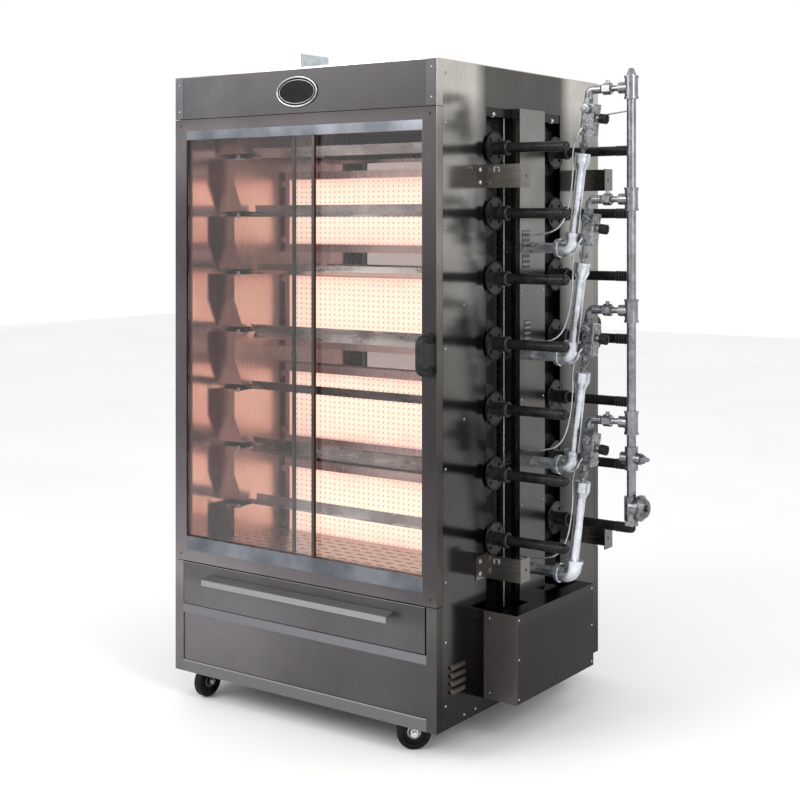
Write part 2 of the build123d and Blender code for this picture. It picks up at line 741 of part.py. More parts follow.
def fork_legs(swivel, turn):
    """Two fork cheeks, their top plate and the axle."""
    toward, axle = wheel_directions(turn)
    for start in (fork_inner, -fork_inner - fork_sheet):
        with BuildSketch(Plane(origin=swivel + axle * start, x_dir=toward, z_dir=axle)) as cheek_face:
            with BuildLine():
                cheek = [(-26, fork_top), (26, fork_top), (trail + 13, wheel_r + 4)]
                cheek += [(trail + 8, wheel_r - 12), (trail - 8, wheel_r - 12), (trail - 13, wheel_r + 4)]
                Polyline(*cheek, close=True)
            make_face()
        extrude(cheek_face.sketch, amount=fork_sheet)
    crown_low = swivel + Vector(0, 0, fork_top - 4)
    with BuildSketch(Plane(origin=crown_low, x_dir=toward, z_dir=(0, 0, 1))) as crown:
        Rectangle(52, 2 * (fork_inner + fork_sheet))
    extrude(crown.sketch, amount=4)
    hub = swivel + toward * trail + Vector(0, 0, wheel_r)
    pin = hub - axle * (fork_inner + fork_sheet + 4)
    rod(tuple(pin), axle_r, 2 * (fork_inner + fork_sheet + 4), tuple(axle))


def caster_wheel(swivel, turn):
    """Tyre and hub with dished faces and a plain bore."""
    toward, axle = wheel_directions(turn)
    hub = swivel + toward * trail + Vector(0, 0, wheel_r)
    with BuildPart() as wheel:
        rod(tuple(hub - axle * wheel_half), wheel_r, 2 * wheel_half, tuple(axle))
        fillet(wheel.edges().filter_by(GeomType.CIRCLE), radius=7)
        for way in (-1, 1):
            with BuildSketch(Plane(origin=hub + axle * (way * wheel_half), z_dir=axle * -way)):
                Circle(34)
                Circle(15, mode=Mode.SUBTRACT)
            extrude(amount=5, mode=Mode.SUBTRACT)
        rod(tuple(hub - axle * 20), axle_r + 0.3, 40, tuple(axle), mode=Mode.SUBTRACT)
    return wheel


caster_x = (left_x + caster_in_x, right_x - caster_in_x)
caster_y = -front_y - caster_in_y
front_turn = (-90, 220)
rear_turn = (-90, -90)

with BuildPart() as caster_mounts:
    for x in caster_x:
        for y in (-caster_y, caster_y):
            block((x - 48, x + 48), (y - 42, y + 42), (deck_z - 4, deck_z))
        rod((x, -caster_y, fork_top + 0.5), 24, deck_z - 3 - fork_top)
        rod((x, -caster_y, fork_top - 6), 6, 8)
        fork_legs(Vector(x, caster_y, 0), rear_turn[0])
        rod((x, caster_y, fork_top - 1), 24, deck_z - 3 - fork_top)
finish(caster_mounts, "caster_mounts")

for x, turn, name in zip(caster_x, front_turn, ("left", "right")):
    swivel = Vector(x, -caster_y, 0)
    with BuildPart() as fork:
        fork_legs(swivel, turn)
        rod((x, -caster_y, fork_top - 6), 6.4, 8, mode=Mode.SUBTRACT)
    finish(fork, f"front_{name}_fork")
    finish(caster_wheel(swivel, turn), f"front_{name}_wheel")
for x, turn, name in zip(caster_x, rear_turn, ("left", "right")):
    finish(caster_wheel(Vector(x, caster_y, 0), turn), f"rear_{name}_wheel")
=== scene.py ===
import math

import bmesh
import bpy
from mathutils import Matrix, Vector


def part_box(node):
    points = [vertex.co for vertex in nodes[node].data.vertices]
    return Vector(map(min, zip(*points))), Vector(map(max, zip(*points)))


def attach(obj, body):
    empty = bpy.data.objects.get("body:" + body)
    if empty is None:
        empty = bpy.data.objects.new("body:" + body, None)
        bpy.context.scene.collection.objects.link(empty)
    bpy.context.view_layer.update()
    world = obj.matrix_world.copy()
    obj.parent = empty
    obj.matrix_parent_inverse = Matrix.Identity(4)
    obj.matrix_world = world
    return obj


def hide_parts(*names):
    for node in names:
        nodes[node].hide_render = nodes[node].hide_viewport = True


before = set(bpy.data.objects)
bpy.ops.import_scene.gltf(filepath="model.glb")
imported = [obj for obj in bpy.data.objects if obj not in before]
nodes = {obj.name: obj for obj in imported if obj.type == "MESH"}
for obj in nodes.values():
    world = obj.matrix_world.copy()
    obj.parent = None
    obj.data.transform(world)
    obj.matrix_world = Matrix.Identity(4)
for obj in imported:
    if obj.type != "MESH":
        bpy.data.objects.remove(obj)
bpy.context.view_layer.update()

# ---------------------------------------------------------------- places, in metres

MM = 0.001

roof_low, roof_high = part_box("roof_box")
left, right = roof_low[0], roof_high[0]
front, rear = roof_low[1], roof_high[1]
roof_z = roof_high[2]
centre = (left + right) / 2
body_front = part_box("right_side_panel")[0][1]
door_low, door_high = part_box("front_door_frame")
box_low, box_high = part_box("drive_box")
duct_low, duct_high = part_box("centre_duct")
chain_low, chain_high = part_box("drive_chains")
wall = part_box("right_wall")[0][0]
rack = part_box("left_rack")[1][0]
manifold_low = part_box("gas_manifold")[0]
tiles_low, tiles_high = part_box("burner_tiles")

rows = (("front", -1), ("rear", 1))
levels = 7
burners = 4
burner_pitch = 0.327
tile_half_height = 0.114
lowest_elbow_z = 0.458
header_seam_z = 1.8475
door_stile = 0.049
outer_rail = 0.036
track_rail = 0.06


def spit_axis(row, level):
    """Y and Z of a spit's axis, the middle of its round hub and so of its box."""
    low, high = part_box(f"{row}_spit_{level}")
    return (low[1] + high[1]) / 2, (low[2] + high[2]) / 2


def burner_z(burner):
    """Height of the middle of a burner, counted from the lowest."""
    return tiles_low[2] + tile_half_height + burner * burner_pitch


# ---------------------------------------------------------------- materials


class Surface:
    """A material's node tree, with short calls for the nodes that the surfaces here share."""

    def __init__(self, name, colour, metallic=0.0, roughness=0.5):
        self.material = bpy.data.materials.new(name)
        self.material.use_nodes = True
        self.tree = self.material.node_tree
        self.shader = self.tree.nodes["Principled BSDF"]
        self.shader.inputs["Base Color"].default_value = (*colour, 1)
        self.shader.inputs["Metallic"].default_value = metallic
        self.shader.inputs["Roughness"].default_value = roughness
        self.coords = self.tree.nodes.new("ShaderNodeTexCoord").outputs["Object"]

    def link(self, source, target):
        self.tree.links.new(source, target)

    def feed(self, source, socket):
        self.link(source, self.shader.inputs[socket])

    def math(self, operation, a, b=None):
        node = self.tree.nodes.new("ShaderNodeMath")
        node.operation = operation
        for socket, value in zip(node.inputs, (a, b)):
            if value is None:
                continue
            if isinstance(value, (int, float)):
                socket.default_value = value
            else:
                self.link(value, socket)
        return node.outputs[0]

    def axis(self, index):
        split = self.tree.nodes.new("ShaderNodeSeparateXYZ")
        self.link(self.coords, split.inputs[0])
        return split.outputs[index]

    def noise(self, scale, stretch=(1, 1, 1), detail=3.0, rough=0.55):
        mapping = self.tree.nodes.new("ShaderNodeMapping")
        mapping.inputs["Scale"].default_value = stretch
        self.link(self.coords, mapping.inputs["Vector"])
        node = self.tree.nodes.new("ShaderNodeTexNoise")
        node.inputs["Scale"].default_value = scale
        node.inputs["Detail"].default_value = detail
        node.inputs["Roughness"].default_value = rough
        self.link(mapping.outputs[0], node.inputs["Vector"])
        return node.outputs["Fac"]

    def ramp(self, source, stops):
        """A colour ramp. A stop's colour has three values, or one for a grey."""
        node = self.tree.nodes.new("ShaderNodeValToRGB")
        elements = node.color_ramp.elements
        while len(elements) < len(stops):
            elements.new(0.5)
        for element, (position, colour) in zip(elements, stops):
            element.position = position
            element.color = (*colour, 1) if len(colour) == 3 else (colour[0],) * 3 + (1,)
        self.link(source, node.inputs["Fac"])
        return node.outputs["Color"]

    def mix(self, factor, a, b, blend="MIX"):
        node = self.tree.nodes.new("ShaderNodeMix")
        node.data_type = "RGBA"
        node.blend_type = blend
        for socket, value in ((node.inputs[0], factor), (node.inputs[6], a), (node.inputs[7], b)):
            if isinstance(value, (int, float)):
                socket.default_value = value
            elif isinstance(value, tuple):
                socket.default_value = (*value, 1)
            else:
                self.link(value, socket)
        return node.outputs[2]

    def range(self, source, low, high, to_low, to_high):
        node = self.tree.nodes.new("ShaderNodeMapRange")
        for socket, value in zip(node.inputs[1:5], (low, high, to_low, to_high)):
            socket.default_value = value
        self.link(source, node.inputs[0])
        return node.outputs[0]

    def bump(self, source, strength, distance):
        node = self.tree.nodes.new("ShaderNodeBump")
        node.inputs["Strength"].default_value = strength
        node.inputs["Distance"].default_value = distance
        self.link(source, node.inputs["Height"])
        self.feed(node.outputs[0], "Normal")

    def paint(self, mask, colour, blend="MIX"):
        """Lay a colour over the base colour, as far as a mask says."""
        base = self.shader.inputs["Base Color"].links[0].from_socket
        self.feed(self.mix(mask, base, colour, blend), "Base Color")

    def band(self, source, low, high):
        """One where a coordinate lies between two values, zero elsewhere."""
        above = self.math("GREATER_THAN", source, low)
        below = self.math("LESS_THAN", source, high)
        return self.math("MULTIPLY", above, below)


# How bright the sheets look over the cabinet, because they mirror a room: (height in metres, brightness).
side_fade = [(0.0, 0.04), (0.16, 0.052), (0.38, 0.3), (0.74, 0.24), (1.11, 0.5), (1.48, 1.25), (1.78, 1.1),
             (1.9, 2.2)]
front_fade = [(0.0, 1.1), (0.3, 1.1), (0.41, 1.5), (0.5, 1.1), (0.9, 0.7), (1.5, 0.7), (1.82, 0.8),
              (1.85, 0.58), (1.98, 0.62)]
duct_fade = [(0.38, 0.32), (0.74, 0.34), (1.2, 0.42), (1.5, 0.8), (1.78, 0.75)]
box_fade = [(0.1, 0.75), (0.3, 0.9), (0.345, 1.0), (0.35, 1.8), (0.376, 1.8)]
drawer_fade = [(0.29, 1.12), (0.36, 1.12), (0.39, 0.88), (0.43, 0.82)]
# The same from the left panel to the right one: (share of the width, brightness).
front_across = [(0.0, 1.55), (0.5, 1.0), (1.0, 0.68)]
drawer_across = [(0.0, 1.2), (0.5, 1.0), (1.0, 0.8)]

# Darkest and lightest colour of a sheet, and its least and most roughness.
mirror_tones = (0.19, 0.18, 0.165), (0.31, 0.3, 0.275)
front_tones = (0.085, 0.081, 0.085), (0.13, 0.125, 0.131)
mirror_rough = (0.1, 0.18)
front_rough = (0.3, 0.44)
lining_rough = (0.22, 0.36)
lining_grain = 0.5
skin = 1.5 * MM


def half_tones(stops):
    """Ramp stops that hold half of each brightness, because a ramp's colours end at one."""
    return [(position, (value / 2,)) for position, value in stops]


def height_tone(surface, fade):
    """Half the brightness at each height above the floor."""
    height = surface.range(surface.axis(2), 0, roof_z, 0, 1)
    return surface.ramp(height, half_tones([(z / roof_z, value) for z, value in fade]))


def toned(surface, colour, half_tone):
    """A colour times twice a half tone."""
    doubled = surface.mix(1.0, colour, (2.0, 2.0, 2.0), "MULTIPLY")
    return surface.mix(1.0, doubled, half_tone, "MULTIPLY")


def brushed(name, dark, light, along, rough, fade=None, grain=0.35, across=None):
    """Brushed sheet metal: fine streaks one way, broad smudges, and a painted reflection tone that may change over
    the cabinet.
    """
    surface = Surface(name, light, 1.0, rough[1])
    stretch = {"x": (0.02, 1, 1), "y": (1, 0.02, 1), "z": (1, 1, 0.02)}[along]
    streaks = surface.noise(900, stretch, 4)
    smudges = surface.noise(3.2, (1, 1, 1), 5)
    fine, broad = surface.math("MULTIPLY", streaks, grain), surface.math("MULTIPLY", smudges, 1 - grain)
    amount = surface.math("ADD", fine, broad)
    colour = surface.ramp(amount, [(0.36, dark), (0.62, light)])
    if fade:
        colour = toned(surface, colour, height_tone(surface, fade))
    if across:
        share = surface.range(surface.axis(0), left, right, 0, 1)
        colour = toned(surface, colour, surface.ramp(share, half_tones(across)))
        # Painted reflection: the right end face is coloured like the side panel, with the side panel's painted
        # reflection tone by height.
        end_face = surface.math("GREATER_THAN", surface.axis(0), right - 0.8 * MM)
        end_tone = surface.mix(1.0, height_tone(surface, side_fade), (0.5, 0.48, 0.44), "MULTIPLY")
        colour = surface.mix(end_face, colour, end_tone)
    surface.feed(colour, "Base Color")
    surface.feed(surface.range(amount, 0.35, 0.65, *rough), "Roughness")
    surface.bump(streaks, 0.08, 0.4 * MM)
    return surface


def pipe_metal(name, dark, light, spangle):
    """Zinc-coated pipe and castings: patchy crystals with dull and bright spots."""
    surface = Surface(name, light, 0.94, 0.34)
    patches = surface.noise(spangle, (1, 1, 1), 3, 0.7)
    stains = surface.noise(9, (1, 1, 1), 4)
    halves = [surface.math("MULTIPLY", source, 0.5) for source in (patches, stains)]
    amount = surface.math("ADD", *halves)
    surface.feed(surface.ramp(amount, [(0.38, dark), (0.6, light)]), "Base Color")
    surface.feed(surface.range(patches, 0.3, 0.7, 0.2, 0.42), "Roughness")
    surface.bump(patches, 0.18, 0.8 * MM)
    return surface


def moulded(name, colour, rough=0.42, specular=0.5):
    """Moulded black plastic or rubber with a fine pebbled skin and worn, dusty patches."""
    surface = Surface(name, colour, 0.0, rough)
    surface.shader.inputs["Specular IOR Level"].default_value = specular
    wear = surface.noise(22, (1, 1, 1), 4)
    grey = tuple(min(1, value * 2.4 + 0.012) for value in colour)
    surface.feed(surface.ramp(wear, [(0.45, colour), (0.75, grey)]), "Base Color")
    surface.feed(surface.range(wear, 0.35, 0.7, rough - 0.12, rough + 0.18), "Roughness")
    surface.bump(surface.noise(700, (1, 1, 1), 2), 0.2, 0.5 * MM)
    return surface


def clear_glass(name, tint):
    """Toughened pane: clear, with faint smears that dull the reflection."""
    surface = Surface(name, tint, 0.0, 0.02)
    surface.shader.inputs["Transmission Weight"].default_value = 1.0
    surface.shader.inputs["IOR"].default_value = 1.45
    smears = surface.noise(5, (1, 1, 0.25), 5)
    surface.feed(surface.range(smears, 0.5, 0.8, 0.0, 0.06), "Roughness")
    return surface


def side_surface():
    """Mirror-bright right panel, with painted shade that darkens it towards its two drive slots."""
    surface = brushed("side_stainless", *mirror_tones, "z", mirror_rough, side_fade)
    from_middle = surface.math("ABSOLUTE", surface.axis(1))
    # Painted shade: the tone is darkest within shade_start of the middle and rises to full at shade_end.
    shade_start, shade_end, darkest = 0.222, 0.288, 0.16
    surface.paint(1.0, surface.range(from_middle, shade_start, shade_end, darkest, 1.0), "MULTIPLY")
    return surface


def left_surface():
    """Left panel: mirror-bright outside, warm and dull inside the oven."""
    surface = brushed("left_stainless", *mirror_tones, "z", mirror_rough, side_fade)
    inside = surface.math("GREATER_THAN", surface.axis(0), left + skin)
    smudges = surface.noise(3.2, (1, 1, 1), 5)
    surface.paint(inside, surface.ramp(smudges, [(0.36, (0.44, 0.28, 0.26)), (0.62, (0.66, 0.45, 0.42))]))
    return surface


def roof_surface():
    """Roof sheet, near black below its top skin."""
    surface = brushed("roof_stainless", *mirror_tones, "y", (0.14, 0.24), side_fade)
    surface.paint(surface.math("LESS_THAN", surface.axis(2), roof_z - 2.3 * MM), (0.03, 0.026, 0.025))
    return surface


def wall_surface():
    """Right inner wall: warm steel towards the oven, and painted shade, near black and dull, on its face towards
    the drive.
    """
    surface = brushed("wall_stainless", (0.45, 0.31, 0.285), (0.68, 0.5, 0.46), "z", lining_rough,
                      grain=lining_grain)
    # Painted shade: the face towards the drive is near black, dull and not metallic.
    drive_side_shade = surface.math("GREATER_THAN", surface.axis(0), wall + skin)
    surface.paint(drive_side_shade, (0.012, 0.011, 0.011))
    surface.feed(surface.range(drive_side_shade, 0, 1, 1.0, 0.0), "Metallic")
    surface.feed(surface.range(drive_side_shade, 0, 1, 0.3, 0.95), "Roughness")
    return surface


def box_surface():
    """Dark drive box, with painted reflection: lighter near its top and on its front flank."""
    surface = brushed("box_stainless", (0.013, 0.011, 0.0105), (0.023, 0.02, 0.019), "z", (0.22, 0.32), box_fade)
    # Painted reflection: the front flank is lighter and less metallic.
    flank = surface.math("LESS_THAN", surface.axis(1), box_low[1] + skin)
    surface.paint(flank, (0.07, 0.062, 0.06))
    surface.feed(surface.range(flank, 0, 1, 1.0, 0.25), "Metallic")
    return surface


def label_surface():
    """Black plate with blank pale bars."""
    surface = moulded("label_face", (0.012, 0.012, 0.013), 0.3)
    bars_per_metre, pale_share = 62, 0.34
    bars = surface.math("FRACT", surface.math("MULTIPLY", surface.axis(2), bars_per_metre))
    surface.paint(surface.math("LESS_THAN", bars, pale_share), (0.13, 0.13, 0.125))
    return surface


def glowing_tile():
    """Perforated ceramic, white-hot in the middle and pink at its edges, with a grid of darker ports."""
    surface = Surface("glowing_ceramic", (0.9, 0.7, 0.5), 0.0, 0.8)
    pitch_x, pitch_z, port_radius = 20.3 * MM, 17.2 * MM, 3.6 * MM
    tile_share = 2 * tile_half_height / burner_pitch
    across = surface.math("SUBTRACT", surface.axis(0), tiles_low[0])
    upward = surface.math("SUBTRACT", surface.axis(2), tiles_low[2])
    cells = []
    for source, pitch in ((across, pitch_x), (upward, pitch_z)):
        share = surface.math("FRACT", surface.math("DIVIDE", source, pitch))
        cells.append(surface.math("MULTIPLY", surface.math("SUBTRACT", share, 0.5), pitch))
    squares = [surface.math("POWER", surface.math("ABSOLUTE", cell), 2) for cell in cells]
    distance = surface.math("SQRT", surface.math("ADD", *squares))
    ports = surface.math("LESS_THAN", distance, port_radius)
    row = surface.math("FRACT", surface.math("DIVIDE", upward, burner_pitch))
    edge = surface.math("ABSOLUTE", surface.math("SUBTRACT", row, tile_share / 2))
    patches = surface.noise(9, (1, 1, 1), 3)
    heat = surface.math("ADD", edge, surface.math("MULTIPLY", patches, 0.22))
    glow = surface.ramp(heat, [(0.2, (1.0, 0.9, 0.7)), (0.36, (0.98, 0.8, 0.62)), (0.46, (0.85, 0.52, 0.42))])
    port_colour = surface.mix(0.8, glow, (0.2, 0.07, 0.02))
    colour = surface.mix(ports, glow, port_colour)
    surface.feed(surface.mix(1.0, colour, (0.12, 0.12, 0.12), "MULTIPLY"), "Base Color")
    surface.feed(colour, "Emission Color")
    surface.shader.inputs["Emission Strength"].default_value = 0.8
    surface.bump(ports, 0.6, -2 * MM)
    return surface


def spit_surface():
    """Bright blade inside the oven, oiled drive parts in the wall, and a black ribbed grip outside."""
    surface = Surface("spit_steel", (0.6, 0.58, 0.56), 1.0, 0.25)
    x = surface.axis(0)
    streaks = surface.noise(700, (0.02, 1, 1), 4)
    stains = surface.noise(7, (1, 1, 1), 4)
    steel = surface.ramp(stains, [(0.35, (0.27, 0.23, 0.224)), (0.6, (0.58, 0.52, 0.505))])
    inside_wall = surface.math("GREATER_THAN", x, wall + 4 * MM)
    grip = surface.math("GREATER_THAN", x, right + 45.5 * MM)
    worn = surface.noise(30, (1, 1, 1), 4)
    oiled = surface.ramp(worn, [(0.4, (0.009, 0.0085, 0.008)), (0.7, (0.028, 0.026, 0.025))])
    rubber = surface.ramp(worn, [(0.4, (0.006, 0.006, 0.0065)), (0.72, (0.02, 0.02, 0.021))])
    colour = surface.mix(grip, surface.mix(inside_wall, steel, oiled), rubber)
    surface.feed(colour, "Base Color")
    surface.feed(surface.range(inside_wall, 0, 1, 1, 0), "Metallic")
    surface.feed(surface.range(inside_wall, 0, 1, 0.5, 0.22), "Specular IOR Level")
    surface.feed(surface.range(stains, 0.3, 0.7, 0.2, 0.36), "Roughness")
    surface.bump(streaks, 0.12, 0.4 * MM)
    return surface


def door_surface():
    """Grey stainless stiles and outer rails, with aluminium track rails between them."""
    surface = brushed("door_stainless", (0.08, 0.072, 0.077), (0.12, 0.109, 0.116), "z", (0.28, 0.42), front_fade,
                      across=front_across)
    inner_x = surface.band(surface.axis(0), left + door_stile, right - door_stile)
    z = surface.axis(2)
    low_start, high_end = door_low[2] + outer_rail, door_high[2] - outer_rail
    tracks = [surface.band(z, low_start, low_start + track_rail), surface.band(z, high_end - track_rail, high_end)]
    rails = surface.math("MULTIPLY", inner_x, surface.math("ADD", *tracks))
    smudges = surface.noise(6, (1, 1, 1), 4)
    surface.paint(rails, surface.ramp(smudges, [(0.35, (0.1, 0.108, 0.125)), (0.65, (0.22, 0.23, 0.26))]))
    return surface


def fascia_surface():
    """Grey stainless with lighter middle and bottom rails, and a painted highlight along the fold on top of the
    bottom one.
    """
    surface = brushed("fascia_stainless", (0.08, 0.075, 0.08), (0.12, 0.114, 0.121), "x", front_rough, front_fade,
                      across=front_across)
    z = surface.axis(2)
    inner_x = surface.band(surface.axis(0), left + 36 * MM, right - 36 * MM)
    middle_rail, bottom_rail, fold_highlight = (0.271, 0.2965), (0.082, 0.1185), (0.1155, 0.1187)
    bands = [surface.band(z, *middle_rail), surface.band(z, *bottom_rail)]
    rails = surface.math("MULTIPLY", inner_x, surface.math("ADD", *bands))
    upper = surface.math("GREATER_THAN", z, 0.2)
    surface.paint(rails, surface.ramp(upper, [(0.0, (0.165, 0.163, 0.167)), (1.0, (0.19, 0.19, 0.203))]))
    # Painted highlight: a thin bright band along the fold on top of the bottom rail.
    fold = surface.math("MULTIPLY", inner_x, surface.band(z, *fold_highlight))
    surface.paint(fold, (0.34, 0.335, 0.345))
    return surface


def drawer_surface():
    """Grey stainless drawer front, with painted highlights: a light pull and a light folded top edge."""
    surface = brushed("drawer_stainless", *front_tones, "x", front_rough, drawer_fade, across=drawer_across)
    # Painted highlights on the folded top edge and on the pull.
    fold = surface.math("GREATER_THAN", surface.axis(2), door_low[2] - 5.4 * MM)
    pull = surface.math("LESS_THAN", surface.axis(1), front - 2 * MM)
    surface.paint(surface.math("MAXIMUM", fold, pull), (0.3, 0.295, 0.305))
    return surface


front_steel = brushed("front_stainless", *front_tones, "x", front_rough, front_fade, across=front_across)
strip_steel = brushed("strip_stainless", (0.115, 0.112, 0.123), (0.172, 0.168, 0.184), "x", front_rough,
                      front_fade, across=front_across)
stile_steel = brushed("stile_stainless", (0.078, 0.071, 0.075), (0.115, 0.106, 0.111), "z", front_rough,
                      front_fade, across=front_across)
duct_steel = brushed("duct_stainless", (0.2, 0.19, 0.18), (0.34, 0.33, 0.31), "z", (0.16, 0.26), duct_fade)
bright_rail = brushed("rail_aluminium", (0.42, 0.45, 0.5), (0.62, 0.66, 0.72), "x", (0.18, 0.3))
lining = brushed("lining_stainless", (0.42, 0.28, 0.26), (0.64, 0.455, 0.42), "z", lining_rough,
                 grain=lining_grain)
floor_steel = brushed("floor_stainless", (0.27, 0.195, 0.185), (0.42, 0.315, 0.3), "x", (0.25, 0.4),
                      grain=lining_grain)
bracket_steel = brushed("bracket_stainless", (0.13, 0.122, 0.115), (0.24, 0.23, 0.215), "x", (0.2, 0.32))
trim_dark = brushed("trim_metal", (0.05, 0.04, 0.037), (0.11, 0.09, 0.082), "z", (0.3, 0.45))
zinc = pipe_metal("galvanised_sheet", (0.42, 0.46, 0.49), (0.66, 0.7, 0.73), 40)
pipe = pipe_metal("galvanised_pipe", (0.46, 0.485, 0.53), (0.74, 0.77, 0.84), 35)
main_pipe = pipe_metal("main_pipe", (0.16, 0.165, 0.178), (0.3, 0.31, 0.335), 35)
cast = pipe_metal("cast_fitting", (0.07, 0.072, 0.076), (0.36, 0.37, 0.39), 90)
plated = pipe_metal("plated_steel", (0.33, 0.34, 0.35), (0.6, 0.61, 0.62), 110)
dark_steel = pipe_metal("oiled_steel", (0.006, 0.0057, 0.0055), (0.03, 0.028, 0.027), 120)
bright_steel = pipe_metal("bright_steel", (0.5, 0.5, 0.5), (0.82, 0.82, 0.82), 140)
frame_paint = pipe_metal("frame_steel", (0.05, 0.05, 0.052), (0.12, 0.12, 0.125), 50)
bronze = pipe_metal("bearing_bronze", (0.3, 0.17, 0.07), (0.55, 0.36, 0.18), 90)
polished_black = pipe_metal("blackened_steel", (0.008, 0.008, 0.0085), (0.022, 0.022, 0.023), 60)
badge_rim = pipe_metal("badge_rim", (0.3, 0.3, 0.31), (0.45, 0.45, 0.46), 60)
black_plastic = moulded("black_plastic", (0.008, 0.008, 0.009), specular=0.25)
black_rubber = moulded("tyre_rubber", (0.004, 0.004, 0.004), 0.6, specular=0.15)
motor_paint = moulded("motor_paint", (0.05, 0.055, 0.06), 0.4)
badge_face = moulded("badge_enamel", (0.005, 0.005, 0.005), 0.5, specular=0.12)
label_face = label_surface()
glass = clear_glass("pane_glass", (0.82, 0.81, 0.81))
# Dark pink tint: partly a baked grease film, partly a painted reflection of the burners' glow.
rear_glass = clear_glass("rear_pane_glass", (0.58, 0.47, 0.45))
ceramic = glowing_tile()
spit_metal = spit_surface()
door_steel = door_surface()

finishes = {
    "base_frame": frame_paint, "left_side_panel": left_surface(), "right_side_panel": side_surface(),
    "roof_box": roof_surface(), "flue_collar": zinc, "header_panels": front_steel, "badge": badge_face,
    "front_lower_fascia": fascia_surface(), "rear_lower_fascia": front_steel, "left_rack": lining,
    "right_wall": wall_surface(), "spindle_bearings": bronze, "drip_floor": floor_steel, "burner_housings": lining,
    "burner_tiles": ceramic, "drive_chains": dark_steel, "drive_motors": motor_paint, "drive_box": box_surface(),
    "centre_duct": duct_steel, "cover_brackets": bracket_steel, "burner_inlets": pipe, "gas_valves": cast,
    "gas_manifold": main_pipe, "gas_regulator": cast, "caster_mounts": plated, "drip_drawer": drawer_surface(),
}
finishes_by_ending = {"_door_frame": door_steel, "_wheel": black_rubber, "_fork": cast, "_sprocket": dark_steel}


def finish_of(name):
    """The surface of a CAD node, by its own name or by the kind of part that the name tells."""
    if name in finishes:
        return finishes[name]
    if "_spit_" in name:
        return spit_metal
    if name.endswith("_pane"):
        return rear_glass if name.startswith("rear") else glass
    for ending, surface in finishes_by_ending.items():
        if name.endswith(ending):
            return surface
    return black_plastic


for name, node in nodes.items():
    node.data.materials.clear()
    node.data.materials.append(finish_of(name).material)


# ---------------------------------------------------------------- mesh helpers


def piece(name, mesh, surface, body, smooth=True):
    """Put a finished bmesh into the scene as a piece that rides on a body."""
    data = bpy.data.meshes.new(name)
    bmesh.ops.recalc_face_normals(mesh, faces=mesh.faces)
    mesh.to_mesh(data)
    mesh.free()
    data.materials.append(surface.material)
    item = bpy.data.objects.new(name, data)
    bpy.context.scene.collection.objects.link(item)
    if smooth:
        for polygon in data.polygons:
            polygon.use_smooth = True
        data.set_sharp_from_angle(angle=math.radians(35))
    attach(item, body)
    return item


def facing(direction):
    """A rotation that turns +Z to a direction."""
    return Vector((0, 0, 1)).rotation_difference(Vector(direction).normalized()).to_matrix().to_4x4()


def lathe(mesh, outline, place, direction, steps=32, scale=MM):
    """Turn an outline of (radius, height) points, in millimetres unless scaled, about an axis."""
    turn = Matrix.Translation(place) @ facing(direction)
    rings = []
    for step in range(steps):
        angle = 2 * math.pi * step / steps
        reach = [(r * scale, h * scale) for r, h in outline]
        points = [turn @ Vector((r * math.cos(angle), r * math.sin(angle), h)) for r, h in reach]
        rings.append([mesh.verts.new(point) for point in points])
    for step in range(steps):
        here, there = rings[step], rings[(step + 1) % steps]
        for i in range(len(outline) - 1):
            corners = [here[i], here[i + 1], there[i + 1], there[i]]
            if outline[i][0] == 0:
                corners = [here[i + 1], there[i + 1], here[i]]
            elif outline[i + 1][0] == 0:
                corners = [here[i], here[i + 1], there[i]]
            mesh.faces.new(corners)
    bmesh.ops.remove_doubles(mesh, verts=mesh.verts, dist=1e-6)


def rounded_block(mesh, low, high, radius):
    """A box between two corners with bevelled edges."""
    made = bmesh.ops.create_cube(mesh, size=1.0)
    size = [b - a for a, b in zip(low, high)]
    middle = [(a + b) / 2 for a, b in zip(low, high)]
    for vertex in made["verts"]:
        vertex.co = Vector([m + c * s for m, c, s in zip(middle, vertex.co, size)])
    edges = list({edge for vertex in made["verts"] for edge in vertex.link_edges})
    bmesh.ops.bevel(mesh, geom=edges, offset=min(radius, min(size) * 0.45), segments=2, affect="EDGES")


def screw_head(mesh, place, direction, radius):
    """A pan-head screw with a washer face and a hexagonal socket, in shares of its radius."""
    outline = [(0, 0.35), (0.36, 0.35), (0.42, 0.62), (0.8, 0.5), (1.0, 0.2), (1.0, 0), (1.25, 0), (1.25, -0.12)]
    lathe(mesh, outline, place, direction, 12, radius)


def bolt_head(mesh, place, direction, radius):
    """A hexagon bolt head on a round washer, in shares of its radius."""
    lathe(mesh, [(0, 0.75), (0.8, 0.75), (1.0, 0.6), (1.0, 0.15)], place, direction, 6, radius)
    lathe(mesh, [(1.0, 0.18), (1.45, 0.18), (1.45, 0.0)], place, direction, 18, radius)


def screws(name, places, direction, radius, body="root", surface=plated, shape=screw_head):
    """Identical screw heads as one piece."""
    mesh = bmesh.new()
    for place in places:
        shape(mesh, Vector(place), direction, radius)
    piece(name, mesh, surface, body)


def tube(name, points, radius, surface):
    """A thin bent tube along a smooth line."""
    curve = bpy.data.curves.new(name, "CURVE")
    curve.dimensions = "3D"
    curve.bevel_depth = radius
    curve.bevel_resolution = 3
    curve.use_fill_caps = True
    spline = curve.splines.new("NURBS")
    spline.points.add(len(points) - 1)
    for target, point in zip(spline.points, points):
        target.co = (*point, 1)
    spline.order_u = 3
    spline.use_endpoint_u = True
    spline.resolution_u = 8
    curve.materials.append(surface.material)
    item = bpy.data.objects.new(name, curve)
    bpy.context.scene.collection.objects.link(item)
    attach(item, "root")


# ---------------------------------------------------------------- detail: cabinet


